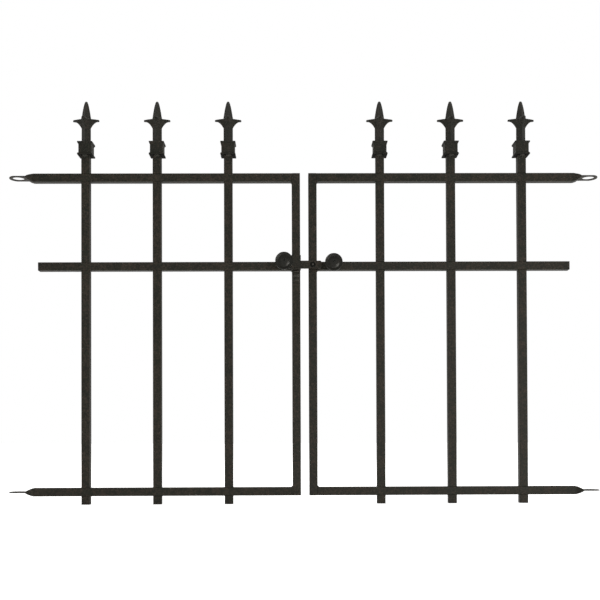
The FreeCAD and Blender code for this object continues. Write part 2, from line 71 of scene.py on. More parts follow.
class Wire:
    """One output in a board of nodes, so that its maths is written as plain expressions."""

    def __init__(self, board, socket):
        self.board = board
        self.socket = socket

    def maths(self, operation, first, second):
        return self.board.node("ShaderNodeMath", {"operation": operation}, {0: first, 1: second})

    def __add__(self, other):
        return self.maths("ADD", self, other)

    def __sub__(self, other):
        return self.maths("SUBTRACT", self, other)

    def __rsub__(self, other):
        return self.maths("SUBTRACT", other, self)

    def __mul__(self, other):
        return self.maths("MULTIPLY", self, other)

    __radd__ = __add__
    __rmul__ = __mul__


class Board:
    """A tree of nodes, and one way to add any node to it."""

    def __init__(self, tree):
        self.tree = tree

    def feed(self, socket, value):
        """Gives a socket its link or its value."""
        if isinstance(value, Wire):
            self.tree.links.new(value.socket, socket)
        else:
            socket.default_value = value

    def node(self, kind, settings=None, inputs=None, output=0):
        """Adds a node with its settings and its sockets' values or links, and gives one of its outputs."""
        made = self.tree.nodes.new(kind)
        for name, value in (settings or {}).items():
            setattr(made, name, value)
        for name, value in (inputs or {}).items():
            self.feed(made.inputs[name], value)
        return Wire(self, made.outputs[output])

    def noise(self, place, scale, detail=3.0, roughness=0.5):
        """Cloudy noise round one half."""
        sockets = {"Vector": place, "Scale": scale, "Detail": detail, "Roughness": roughness}
        return self.node("ShaderNodeTexNoise", {}, sockets, "Fac")

    def between(self, value, low, high, to_low=0.0, to_high=1.0):
        """The value's part from low to high, spread over 0 to 1 or the range given, with soft ends."""
        sockets = {"Value": value, "From Min": low, "From Max": high, "To Min": to_low, "To Max": to_high}
        return self.node("ShaderNodeMapRange", {"interpolation_type": "SMOOTHSTEP"}, sockets)

    def blend(self, share, first, second):
        """A colour between two others."""
        return self.node("ShaderNodeMix", {"data_type": "RGBA"}, {0: share, 6: first, 7: second}, 2)


class Finish(Board):
    """One paint or metal: a material and its shader. What is the same all over is set at once."""

    def __init__(self, name, constants):
        self.material = bpy.data.materials.new(name)
        self.material.use_nodes = True
        super().__init__(self.material.node_tree)
        self.shader = self.tree.nodes["Principled BSDF"]
        self.place = self.node("ShaderNodeTexCoord", output="Object")
        for socket, value in constants.items():
            self.shader.inputs[socket].default_value = value

    def edges(self, width):
        """1 along outside edges narrower than the width, 0 on open faces."""
        rounded = self.node("ShaderNodeBevel", {"samples": 4}, {"Radius": width})
        plain = self.node("ShaderNodeNewGeometry", output="Normal")
        sockets = {0: rounded, 1: plain}
        alike = self.node("ShaderNodeVectorMath", {"operation": "DOT_PRODUCT"}, sockets, "Value")
        return self.between(1 - alike, 0.02, 0.22)

    def coat(self, colour, roughness, height):
        """What varies over the surface. The height is in metres."""
        sockets = {"Strength": 1.0, "Distance": 1.0, "Height": height}
        relief = self.node("ShaderNodeBump", {}, sockets, "Normal")
        for name, wire in (("Base Color", colour), ("Roughness", roughness), ("Normal", relief)):
            self.feed(self.shader.inputs[name], wire)


def rgb(red, green, blue):
    return (red, green, blue, 1.0)


OLIVE = (1.45, 1.65, 1.32)              # how much lighter the green patches are than the dark paint
# Pale edge colour: partly thin rubbed paint, partly a painted highlight along the edges.
THIN_PAINT_AND_HIGHLIGHT = rgb(0.060, 0.056, 0.047)
DUST = rgb(0.046, 0.043, 0.036)
# Painted shade: the near-black laid on faces that look down.
PAINTED_UNDERSIDE_DARK = rgb(0.0020, 0.0020, 0.0017)
# Pale crest colour: partly bare steel, partly a painted highlight.
BARE_STEEL_AND_HIGHLIGHT = rgb(0.080, 0.075, 0.066)


def black_paint(name, dark, warm, grain_scale, grain_depth, pit_depth, matt, shine, worn_lit_edge_share=0.14,
                worn_lit_edge_width=0.0010, underside_shade=0.0, crest=None):
    """Black satin paint: warm and green patches, a fine pebbled skin, dust, and pale edges, partly rubbed
    thin and partly a painted highlight.
    Painted shade darkens the faces that look down. A crest is the depth along Y where the paint starts to
    pale, partly worn to bare steel and partly a painted highlight, and the depth where it is palest."""
    finish = Finish(name, {"Specular IOR Level": shine, "Specular Tint": rgb(1.0, 0.98, 0.90)})
    cloud = finish.noise(finish.place, 34.0, 4.0, 0.6)
    speckle = finish.noise(finish.place, 330.0, 3.0, 0.65)
    skin = finish.noise(finish.place, grain_scale, 2.0, 0.6)
    pits = finish.noise(finish.place, grain_scale * 0.28, 4.0, 0.7)
    green = finish.noise(finish.place, 210.0, 2.0, 0.6)
    worn = finish.between(finish.noise(finish.place, 120.0, 5.0, 0.7), 0.45, 0.68)
    # Edge mask for the pale edges: partly rubbed paint, partly a painted highlight.
    worn_lit_edge = finish.edges(worn_lit_edge_width) * worn
    dust = finish.between(finish.noise(finish.place, 75.0, 6.0, 0.75), 0.52, 0.78)
    shade = finish.blend(finish.between(cloud * 0.3 + speckle * 0.7, 0.42, 0.60), dark, warm)
    olive = rgb(*(part * lighter for part, lighter in zip(dark, OLIVE)))
    shade = finish.blend(finish.between(green, 0.46, 0.62) * 0.6, shade, olive)
    # Painted highlight and thin paint: the edges are mixed towards a pale brown.
    shade = finish.blend(worn_lit_edge * worn_lit_edge_share, shade, THIN_PAINT_AND_HIGHLIGHT)
    shade = finish.blend(dust * 0.16, shade, DUST)
    roughness = matt + 0.14 * (cloud - 0.5) + 0.20 * (speckle - 0.5) + dust * 0.10 + worn_lit_edge * 0.08
    # Painted shade under the faces that look down, such as the collar lips.
    if underside_shade:
        normal = finish.node("ShaderNodeNewGeometry", output="Normal")
        upwards = finish.node("ShaderNodeSeparateXYZ", {}, {"Vector": normal}, "Z")
        under = finish.between(upwards, -0.97, -0.72, underside_shade, 0.0)
        shade = finish.blend(under, shade, PAINTED_UNDERSIDE_DARK)
        roughness = roughness + under * 0.35
    # A pale crest: partly worn to bare steel, partly a painted highlight on the dome.
    if crest:
        pale_from, palest_at = crest
        depth = finish.node("ShaderNodeSeparateXYZ", {}, {"Vector": finish.place}, "Y")
        pale_crest = finish.between(depth, palest_at, pale_from, 1.0, 0.0)
        shade = finish.blend(pale_crest, shade, BARE_STEEL_AND_HIGHLIGHT)
    height = skin * grain_depth + finish.between(pits, 0.30, 0.52) * pit_depth
    finish.coat(shade, roughness, height)
    return finish


TUBE_PAINT = black_paint("tube_black_satin", rgb(0.0120, 0.0128, 0.0100), rgb(0.0490, 0.0370, 0.0275),
                         grain_scale=1300.0, grain_depth=0.00007, pit_depth=0.00003, matt=0.50, shine=0.30)
# The collar's downward faces take the painted shade.
COLLAR_PAINT = black_paint("cast_collar_black", rgb(0.0110, 0.0122, 0.0098), rgb(0.0390, 0.0320, 0.0245),
                           grain_scale=700.0, grain_depth=0.00020, pit_depth=0.00018, matt=0.58, shine=0.30,
                           underside_shade=0.9)
FINIAL_PAINT = black_paint("cast_finial_black", rgb(0.0110, 0.0122, 0.0098), rgb(0.0400, 0.0325, 0.0255),
                           grain_scale=700.0, grain_depth=0.00020, pit_depth=0.00018, matt=0.56, shine=0.32)
# The weld paint is mixed lighter, with strongly paled edges, as a painted highlight on the beads.
WELD_PAINT = black_paint("weld_black_gloss", rgb(0.0170, 0.0176, 0.0150), rgb(0.0600, 0.0500, 0.0400),
                         grain_scale=900.0, grain_depth=0.00016, pit_depth=0.00010, matt=0.32, shine=0.55,
                         worn_lit_edge_share=0.5)
# Wide pale edges: partly rubbed paint, partly a painted highlight on the catch's bend.
STRIP_PAINT = black_paint("latch_strip_black", rgb(0.0120, 0.0126, 0.0100), rgb(0.0490, 0.0370, 0.0275),
                          grain_scale=1200.0, grain_depth=0.00008, pit_depth=0.00005, matt=0.48, shine=0.32,
                          worn_lit_edge_share=0.5, worn_lit_edge_width=0.0026)
# The rivet's crest is paled, partly as bare steel and partly as a painted highlight.
RIVET_PAINT = black_paint("rivet_black", rgb(0.0022, 0.0022, 0.0018), rgb(0.0060, 0.0050, 0.0040),
                          grain_scale=1000.0, grain_depth=0.00008, pit_depth=0.00005, matt=0.40, shine=0.16,
                          crest=(RIVET_CREST + 1.2 * MM, RIVET_CREST + 0.5 * MM))
KNOB_PAINT = black_paint("knob_black", rgb(0.0030, 0.0036, 0.0028), rgb(0.0120, 0.0100, 0.0078),
                         grain_scale=950.0, grain_depth=0.00009, pit_depth=0.00007, matt=0.27, shine=0.42,
                         worn_lit_edge_share=0.05)


def zinc():
    """Bright zinc plate on the screws, cloudy and lightly scratched, with dull white bloom in patches."""
    finish = Finish("screw_zinc_plate", {"Metallic": 1.0})
    cloud = finish.noise(finish.place, 420.0, 4.0, 0.6)
    sockets = {"Vector": finish.place, "Scale": (3500.0, 300.0, 300.0)}
    stretched = finish.node("ShaderNodeMapping", {}, sockets)
    scratch = finish.noise(stretched, 1.0, 2.0, 0.5)
    bloom = finish.between(finish.noise(finish.place, 900.0, 5.0, 0.7), 0.50, 0.70)
    plate = finish.blend(cloud, rgb(0.46, 0.47, 0.48), rgb(0.66, 0.66, 0.63))
    finish.coat(finish.blend(bloom * 0.4, plate, rgb(0.40, 0.40, 0.39)),
                0.26 + cloud * 0.14 + bloom * 0.22, scratch * 0.00003 + bloom * 0.00003)
    return finish


SCREW_ZINC = zinc()


# ---------------------------------------------------------------- mesh helpers

def skin_rings(mesh, rings, around=False):
    """Joins rings of points with quads. The two ends are closed by fans, or joined to each other."""
    loops = [[mesh.verts.new(point) for point in ring] for ring in rings]
    count = len(loops[0])
    pairs = list(zip(loops, loops[1:]))
    if around:
        pairs.append((loops[-1], loops[0]))
    for low, high in pairs:
        for i in range(count):
            j = (i + 1) % count
            mesh.faces.new((low[i], low[j], high[j], high[i]))
    if not around:
        for loop in (loops[0], loops[-1]):
            middle = mesh.verts.new(sum((v.co for v in loop), Vector()) / count)
            for i in range(count):
                mesh.faces.new((loop[i], loop[(i + 1) % count], middle))


def finish_piece(mesh, name, body, finish, replaced=(), crease=38.0):
    """Makes a piece of the mesh: its body, its finish, the nodes it stands for, and its crease angle."""
    bmesh.ops.recalc_face_normals(mesh, faces=mesh.faces)
    data = bpy.data.meshes.new(name)
    mesh.to_mesh(data)
    mesh.free()
    data.polygons.foreach_set("use_smooth", [True] * len(data.polygons))
    data.set_sharp_from_angle(angle=math.radians(crease))
    data.materials.append(finish.material)
    piece = bpy.data.objects.new(name, data)
    bpy.context.scene.collection.objects.link(piece)
    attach(piece, body)
    if replaced:
        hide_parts(*replaced)
    return piece


def arc(start, end, bulge, steps=8):
    """Points after start up to end, bowed to the left of the way by the bulge."""
    (x0, y0), (x1, y1) = start, end
    length = math.hypot(x1 - x0, y1 - y0)
    side = (-(y1 - y0) / length, (x1 - x0) / length)
    points = []
    for step in range(1, steps + 1):
        t = step / steps
        bow = 4 * t * (1 - t) * bulge
        points.append((x0 + t * (x1 - x0) + bow * side[0], y0 + t * (y1 - y0) + bow * side[1]))
    return points


def turned(mesh, foot, profile, segments=72, around=False, wobble=0.0):
    """Turns a profile of (radius, distance forward) in mm about an axis towards the front. A wobble
    leaves the round a little uneven."""
    rings = []
    for radius, forward in profile:
        ring = []
        for i in range(segments):
            angle = 2 * math.pi * i / segments
            waves = math.sin(5 * angle + forward * 0.2) * math.sin(3 * angle + 1.3)
            uneven = 1 - wobble * (0.5 + 0.5 * waves)
            across = Vector((math.cos(angle), 0, math.sin(angle))) * radius * uneven
            ring.append(foot + (across + FRONT * forward) * MM)
        rings.append(ring)
    skin_rings(mesh, rings, around)


def foot_of(node):
    """The middle of a turned piece's rear face, and the piece's length and radius in mm."""
    low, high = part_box(node)
    middle = (low + high) / 2
    return Vector((middle.x, high.y, middle.z)), (high.y - low.y) / MM, (high.x - low.x) / 2 / MM


# ---------------------------------------------------------------- knobs, rivet, screws

def knob(name, node, body):
    """A turned knob: moulded foot, thin neck, wide rim, groove, and a low dome in the middle."""
    foot, length, radius = foot_of(node)
    bore, neck, pad, dome = 2.45, 5.2, 7.2, 11.4
    rim = length - 6.0
    profile = [(bore, 12.0), (bore, 0.0), (pad - 0.5, 0.0), (pad, 0.5), (pad, 2.0), (6.8, 2.6), (6.0, 3.0)]
    profile += arc(profile[-1], (neck, 5.0), -0.3, 4)
    profile += [(neck, 11.0), (neck + 0.05, 15.0)]
    profile += arc(profile[-1], (radius - 0.6, rim - 3.9), -2.9, 14)
    profile += arc(profile[-1], (radius, rim - 2.6), 0.25, 3)
    profile += [(radius, rim - 0.8)]
    profile += arc(profile[-1], (radius - 0.8, rim), 0.24, 4)
    profile += [(radius - 2.4, rim - 0.05)]
    profile += arc(profile[-1], (dome + 0.5, rim - 1.25), 0.15, 3)
    profile += [(dome, rim - 1.3)]
    profile += arc((dome, rim - 1.1), (0.25, length), 1.75, 16)
    mesh = bmesh.new()
    turned(mesh, foot, profile, 96, wobble=0.012)
    return finish_piece(mesh, name, body, KNOB_PAINT, [node])


def hammered_rivet():
    """The pivot rivet: a domed head in front, and a flatter peened head behind the stile."""
    foot, length, head = foot_of("pivot_rivet")
    shank = 3.0
    front = length - 3.3
    profile = [(0.4, 0.0), (2.6, 0.12), (3.9, 0.7), (4.8, 1.7), (head - 0.05, 2.8), (shank, 2.82)]
    profile += [(shank, front), (head - 0.05, front + 0.02), (head, front + 0.5)]
    profile += arc(profile[-1], (1.9, length - 0.25), 1.0, 8)
    profile += [(1.2, length - 0.1), (0.4, length - 0.02)]
    mesh = bmesh.new()
    turned(mesh, foot, profile, 56, wobble=0.02)
    return finish_piece(mesh, "pivot_rivet_heads", "right_leaf", RIVET_PAINT, ["pivot_rivet"])


def spacer_ring():
    """The thick washer between the lever and the stile, its outer edges broken."""
    foot, length, radius = foot_of("pivot_spacer")
    hole, edge = 3.06, 0.5
    profile = [(hole, 0.0), (radius - edge, 0.0), (radius, edge), (radius, length - edge),
               (radius - edge, length), (hole, length)]
    mesh = bmesh.new()
    turned(mesh, foot, profile, 56, around=True)
    return finish_piece(mesh, "pivot_spacer_ring", "right_leaf", STRIP_PAINT, ["pivot_spacer"])


def carve(piece, cutter):
    """Cuts the cutter's shape out of the piece for good, and removes the cutter."""
    cut = piece.modifiers.new("recess", "BOOLEAN")
    cut.operation, cut.solver, cut.object = "DIFFERENCE", "EXACT", cutter
    graph = bpy.context.evaluated_depsgraph_get()
    carved = bpy.data.meshes.new_from_object(piece.evaluated_get(graph))
    piece.modifiers.clear()
    piece.data = carved
    bpy.data.objects.remove(cutter)


def cross_cutter(foot):
    """A tapered cross that cuts a screw's recess. It starts behind the head and narrows going in."""
    rings = []
    for forward, arm, half in ((-0.6, 2.5, 0.55), (1.9, 1.1, 0.35)):
        outline = [(-arm, -half), (-half, -half), (-half, -arm), (half, -arm), (half, -half), (arm, -half),
                   (arm, half), (half, half), (half, arm), (-half, arm), (-half, half), (-arm, half)]
        rings.append([foot + (Vector((x, 0, z)) + FRONT * forward) * MM for x, z in outline])
    cross = bmesh.new()
    skin_rings(cross, rings)
    bmesh.ops.recalc_face_normals(cross, faces=cross.faces)
    data = bpy.data.meshes.new("recess_cutter")
    cross.to_mesh(data)
    cross.free()
    cutter = bpy.data.objects.new("recess_cutter", data)
    bpy.context.scene.collection.objects.link(cutter)
    return cutter


def pan_screw(name, node, body):
    """A zinc pan-head screw with a tapered cross recess. Its head faces the rear."""
    foot, length, head = foot_of(node)
    shank, head_depth = 2.4, 2.8
    profile = [(0.3, 0.0), (1.6, 0.05), (head - 1.5, 0.3), (head - 0.5, 1.0), (head, 1.9), (head, 2.55),
               (head - 0.2, head_depth), (shank, head_depth), (shank, length - 0.8), (1.7, length),
               (0.2, length)]
    mesh = bmesh.new()
    turned(mesh, foot, profile, 48)
    screw = finish_piece(mesh, name, body, SCREW_ZINC, [node], 30.0)
    carve(screw, cross_cutter(foot))
    return screw


# ---------------------------------------------------------------- collars and finials

def square_ring(half, corner, level, turn=0.0):
    """A square ring with rounded corners about the origin, in mm."""
    points = []
    inner = half - corner
    steps = 5
    for quarter in range(4):
        for step in range(steps + 1):
            angle = math.pi / 2 * (quarter + step / steps)
            cx = inner * (1 if quarter in (0, 3) else -1)
            cy = inner * (1 if quarter in (0, 1) else -1)
            x, y = cx + corner * math.cos(angle), cy + corner * math.sin(angle)
            points.append((x * math.cos(turn) - y * math.sin(turn),
                           x * math.sin(turn) + y * math.cos(turn), level))
    return points


def lip_lean(place, edge, plus, minus):
    """How far a point on one of two opposite lips leans outwards. Between the lips nothing leans."""
    if place > edge:
        return plus
    if place < -edge:
        return -minus
    return 0


def collar(name, node, body, dice):
    """A cast square collar: waisted sides, flared lips with worn corners, sockets above and below."""
    low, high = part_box(node)
    middle = (low + high) / 2
    base = Vector((middle.x, middle.y, low.z))
    height = (high.z - low.z) / MM
    lip = (high.x - low.x) / 2 / MM
    waist = lip - 2.1
    edge = 0.45
    side = [(lip - edge, 0.0), (lip - 0.1, 0.15), (lip, edge + 0.3), (lip - 0.1, 2.3), (lip - 0.5, 3.0)]
    side += arc(side[-1], (waist, 6.4), 0.6, 7)
    outline = side + [(x, height - z) for x, z in reversed(side)]
    post_half, post_depth = 8.15, 12.5
    rings = [square_ring(post_half, 0.6, post_depth), square_ring(post_half, 0.6, 0.0)]
    for half, level in outline:
        corner = 0.7 + 0.9 * max(0.0, (lip - half) / (lip - waist))
        rings.append(square_ring(half, corner, level))
    stem_half, stem_depth = 6.5, 9.0
    for level in (height, height - stem_depth):
        rings.append(square_ring(stem_half, 0.5, level, turn=math.pi / 4))
    right, left, rear, front = [dice.uniform(-0.35, 0.0) for _ in range(4)]
    placed = []
    for ring in rings:
        placed.append([base + Vector((x + lip_lean(x, lip - 1, right, left),
                                      y + lip_lean(y, lip - 1, rear, front), z)) * MM for x, y, z in ring])
    mesh = bmesh.new()
    skin_rings(mesh, placed)
    return finish_piece(mesh, name, body, COLLAR_PAINT, [node], 50.0)


def star_ring(reach, tip, valley, level, droop=0.0):
    """A four-armed ring in mm: blunt tips at a reach, and valleys between the arms. Arms barely longer than
    the valleys make a diamond. The droop lowers the ends of long arms."""
    half_valley = valley / math.sqrt(2)
    arm = []
    for t in (0.0, 0.35, 0.62, 0.82, 0.94, 1.0):
        arm.append((half_valley + t * (reach - 0.5 * tip - half_valley),
                    -half_valley + t * (half_valley - tip)))
    arm += [(reach - 0.12 * tip, -0.62 * tip), (reach, 0.0)]
    arm += [(x, -y) for x, y in reversed(arm[1:-1])]
    bend_from, bend_length = 9.0, 16.5
    points = []
    for c, s in ((1, 0), (0, 1), (-1, 0), (0, -1)):
        for x, y in arm:
            out = max(0.0, (x - bend_from) / bend_length)
            points.append((x * c - y * s, x * s + y * c, level - droop * out * out))
    return points


def finial(name, node, body, dice):
    """A cast finial: cornerwise stem, crown of four hollow-backed leaves, and a four-sided spear."""
    low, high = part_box(node)
    middle = (low + high) / 2
    base = Vector((middle.x, middle.y, low.z))
    stem = 12.7 / math.sqrt(2)
    stem_valley = stem / math.sqrt(2)
    root, top, tip = 37.4, 53.7, (high.z - low.z) / MM
    reach = (high.x - low.x) / 2 / MM
    droop, leaf_edge, crown_valley = 0.4, 2.6, 11.0
    rings = [star_ring(stem, 0.5, stem_valley, level) for level in (0.0, 9.0, 20.0, root - 1.5)]
    steps = 11
    for step in range(steps + 1):
        t = 1 - (1 - step / steps) ** 1.6
        climb = math.sin(t * math.pi / 2)
        arm = reach - (reach - stem) * (1 - t) ** 0.44
        level = root + (top - leaf_edge - root) * t
        valley = stem_valley + (crown_valley - stem_valley) * climb * t
        rings.append(star_ring(arm, 0.5 + 2.3 * t, valley, level, droop * t))
    rings.append(star_ring(reach, 2.8, 11.2, top - 0.5, droop))
    rings.append(star_ring(reach - 0.5, 2.4, 10.9, top - 0.05, droop))
    rings.append(star_ring(reach - 5.0, 2.2, 10.0, top - 0.15, droop))
    rings.append(star_ring(13.5, 1.5, 8.2, top - 0.1, droop))
    spear, spear_foot = tip - top, 9.5
    flares = {0.0: 1.4, 0.03: 0.7, 0.08: 0.2}
    for share in (0.0, 0.03, 0.08, 0.2, 0.38, 0.56, 0.72, 0.85, 0.94, 0.985):
        half = spear_foot * math.sqrt(1 - 0.965 * share) + flares.get(share, 0)
        rings.append(star_ring(half, 0.45, half / math.sqrt(2) * 0.985, top + share * spear))
    rings.append(star_ring(1.35, 0.4, 1.0, tip - 0.15))
    rings.append(star_ring(0.8, 0.3, 0.6, tip))
    twist = dice.uniform(-0.035, 0.035)
    tilt = dice.uniform(-0.003, 0.003)
    placed = []
    for ring in rings:
        twisted = []
        for x, y, z in ring:
            angle = twist * min(1.0, z / root)
            c, s = math.cos(angle), math.sin(angle)
            twisted.append(base + Vector((x * c - y * s + tilt * z, x * s + y * c, z)) * MM)
        placed.append(twisted)
    mesh = bmesh.new()
    skin_rings(mesh, placed)
    return finish_piece(mesh, name, body, FINIAL_PAINT, [node], 34.0)


# ---------------------------------------------------------------- hinge eyes

def hinge_eye(name, node, body, side):
    """A pressed tube end: the square tube flattens into a round-ended tongue with a bored eye."""
    low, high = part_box(node)
    reach, bore, taper, tongue_half_thick = 17.2, 11.2, 13.0, 1.0
    half_tongue = (high.y - low.y) / 2 / MM
    level = (low.z + high.z) / 2
    hinge = low.x + reach * MM if side < 0 else high.x - reach * MM
    full_at = (high.x - hinge if side < 0 else hinge - low.x) / MM
    neck = full_at - taper
    inward = -side
    centre = Vector((hinge, 0, level))
    rings = []
    steps, corner_parts = 14, 6
    for step in range(steps + 1):
        w = math.sin(math.pi / 2 * step / steps)
        half_width = TUBE_HALF + (half_tongue - TUBE_HALF) * (3 * w ** 2 - 2 * w ** 3)
        half_thick = tongue_half_thick + (TUBE_HALF - tongue_half_thick) * (1 - w ** 1.2) ** 0.80
        corner = min(1.2, half_thick * 0.8)
        along = inward * (full_at + (neck - full_at) * w)
        ring = []
        for quarter in range(4):
            for part in range(corner_parts + 1):
                angle = math.pi / 2 * (quarter + part / corner_parts)
                y = (half_width - corner) * (1 if quarter in (0, 3) else -1) + corner * math.cos(angle)
                z = (half_thick - corner) * (1 if quarter in (0, 1) else -1) + corner * math.sin(angle)
                ring.append(centre + Vector((along, y, z)) * MM)
        rings.append(ring)
    sunk = 1.5 * MM
    rings.append([Vector((p.x - inward * sunk, p.y * 0.99, level + (p.z - level) * 0.9)) for p in rings[-1]])
    mesh = bmesh.new()
    skin_rings(mesh, rings)

    def eye_ring(z, radius_at):
        segments = 96
        ring = []
        for i in range(segments):
            angle = 2 * math.pi * (i + 0.5) / segments
            c, s = math.cos(angle), math.sin(angle)
            radius = radius_at(c, s)
            ring.append(centre + Vector((inward * c * radius, s * radius, z)) * MM)
        return ring

    def tongue_edge(c, s):
        return min(half_tongue / abs(s), (neck + 0.4) / c if c > 0 else reach)

    outside = ((0.4, -1.0), (0.12, -0.9), (0.0, -0.62), (0.0, 0.62), (0.12, 0.9), (0.4, 1.0))
    inside = ((0.3, 1.0), (0.0, 0.7), (0.0, -0.7), (0.3, -1.0))
    tongue = [eye_ring(z, lambda c, s: tongue_edge(c, s) - inset) for inset, z in outside]
    tongue += [eye_ring(z, lambda c, s: bore + inset) for inset, z in inside]
    skin_rings(mesh, tongue, around=True)
    return finish_piece(mesh, name, body, TUBE_PAINT, [node], 40.0)


# ---------------------------------------------------------------- weld beads

def add_weld(mesh, start, end, along_a, along_b, size, dice, ripple=1.5):
    """A rippled bead from start to end, in the corner between two faces that leave it along a and b. The
    size and the ripple's length are in mm."""
    length = (end - start).length / MM
    way = (end - start).normalized()
    ring_gap, lump_gap, sunk = 0.35, 2, -0.4
    steps = max(10, int(length / ring_gap))
    lumps = [dice.uniform(0.86, 1.0) for _ in range(int(length / lump_gap) + 3)]
    lag = 0.35 * ripple
    rings = []
    for step in range(steps + 1):
        t = step / steps
        s = t * length
        lump, past = int(s / lump_gap), (s / lump_gap) % 1
        swell = lumps[lump] * (1 - past) + lumps[lump + 1] * past
        crest = 0.84 + 0.16 * abs(math.sin(math.pi * s / ripple)) ** 0.6
        ends = min(1.0, math.sqrt(max(0.02, min(t, 1 - t) * length / (size * 0.8))))
        r = size * swell * crest * ends
        section = [(sunk, sunk), (r * 0.55, sunk), (r, -0.15)]
        for part in range(7):
            angle = math.pi / 2 * part / 6
            bulge = 0.80 + 0.2 * (abs(math.cos(2 * angle)))
            section.append((r * bulge * math.cos(angle), r * bulge * math.sin(angle)))
        section += [(-0.15, r), (sunk, r * 0.55)]
        ring = []
        for a, b in section:
            curl = lag * (1 - (abs(a - b) / max(r, 1e-6)) ** 2) if a > 0 and b > 0 else 0.0
            back = curl if 0.2 < t < 0.98 else 0.0
            ring.append(start + way * (s - back) * MM + (along_a * a + along_b * b) * MM)
        rings.append(ring)
    skin_rings(mesh, rings)


def leaf_welds(leaf):
    """Every weld of one leaf: in the stile's corners, under the collars, and where pickets meet rails."""
    dice = random.Random(f"welds of the {leaf} leaf")
    side = OUTWARD[leaf]
    up, down = Vector((0, 0, 1)), Vector((0, 0, -1))
    mesh = bmesh.new()
    low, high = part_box(f"{leaf}_stile")
    inner_face = high.x if side > 0 else low.x
    rails = {rail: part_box(f"{leaf}_{rail}_rail") for rail in ("bottom", "mid", "top")}
    above_bottom, below_mid = (rails["bottom"][1].z, up), (rails["mid"][0].z, down)
    above_mid, below_top = (rails["mid"][1].z, up), (rails["top"][0].z, down)
    below_bottom, above_top = (rails["bottom"][0].z, down), (rails["top"][1].z, up)
    half_corner, half_bead = 5.6 * MM, 5.4 * MM
    for level, vertical in (above_bottom, below_mid, above_mid, below_top):
        start, end = Vector((inner_face, -half_corner, level)), Vector((inner_face, half_corner, level))
        add_weld(mesh, start, end, Vector((side, 0, 0)), vertical, 2.7, dice)
    for index in PICKETS:
        low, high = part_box(f"{leaf}_picket_{index}_head")
        collar_low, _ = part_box(f"{leaf}_collar_{index}")
        middle = (low.x + high.x) / 2
        shift = dice.uniform(-1.0, 1.0) * MM
        start = Vector((middle - half_bead + shift, low.y, collar_low.z))
        end = Vector((middle + half_bead + shift, low.y, collar_low.z))
        add_weld(mesh, start, end, FRONT, down, 3.9, dice, 2.2)
        for level, vertical in (above_bottom, below_bottom, below_mid, above_mid, below_top, above_top):
            for x, away in ((low.x, Vector((-1, 0, 0))), (high.x, Vector((1, 0, 0)))):
                half = dice.uniform(3.2, 5.2) * MM
                offset = dice.uniform(-1.0, 1.0) * MM
                start, end = Vector((x, offset - half, level)), Vector((x, offset + half, level))
                add_weld(mesh, start, end, away, vertical, dice.uniform(0.9, 1.4), dice)
    return finish_piece(mesh, f"{leaf}_welds", LEAVES[leaf], WELD_PAINT,
                        [f"{leaf}_weld_beads"], 30.0)


def add_pad(mesh, middle, half_width, half_height, rise, dice, ripples):
    """A low flattened bead lying on a front face, with faint ripples across it. All sizes are in mm."""
    rings = []
    segments = 64
    wave = dice.uniform(0, math.pi)
    hump = ((1.0, -0.3), (1.0, 0.0), (0.94, 0.45), (0.8, 0.8), (0.55, 0.95), (0.25, 1.0), (0.06, 1.0))
    for share, lift in hump:
        ring = []
        for i in range(segments):
            angle = 2 * math.pi * i / segments
            c, s = math.cos(angle), math.sin(angle)
            x = half_width * share * math.copysign(abs(c) ** 0.55, c)
            uneven = 1 + 0.07 * math.sin(5 * angle + wave)
            z = half_height * share * math.copysign(abs(s) ** 0.7, s) * uneven
            ripple = 0.16 * math.sin(ripples * z + 0.35 * x + wave) * (share < 0.97)
            ring.append(middle + (Vector((x, 0, z)) + FRONT * (lift * rise + ripple)) * MM)
        rings.append(ring)
    skin_rings(mesh, rings)


def catch_welds():
    """The bead along the catch's lower edge, the rippled pad below it on the stile, and the thin last run."""
    dice = random.Random("welds of the catch")
    catch_low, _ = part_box("catch")
    stile_low, stile_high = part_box("left_stile")
    middle = Vector(((stile_low.x + stile_high.x) / 2, stile_low.y, catch_low.z))
    mesh = bmesh.new()
    for below, half_width, half_height, rise, ripples in ((1.6, 7.6, 1.3, 1.9, 0.8),
                                                          (9.6, 7.0, 3.6, 1.3, 2.2),
                                                          (18.6, 5.8, 2.4, 0.6, 2.4)):
        place = middle - Vector((0, 0, below * MM))
        add_pad(mesh, place, half_width, half_height, rise, dice, ripples)
    return finish_piece(mesh, "catch_welds", "left_leaf", WELD_PAINT, (), 30.0)


# ---------------------------------------------------------------- CAD pieces that stay

def keep(node, finish, edge):
    """A CAD piece that stays: its split faces joined, its edges eased, and its finish put on. The edge is
    in mm."""
    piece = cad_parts[node]
    joined = piece.modifiers.new("joined", "WELD")
    joined.merge_threshold = 0.00001
    eased = piece.modifiers.new("eased_edges", "BEVEL")
    eased.width, eased.segments = edge * MM, 2
    eased.limit_method, eased.angle_limit = "ANGLE", math.radians(40)
    piece.data.materials.clear()
    piece.data.materials.append(finish.material)


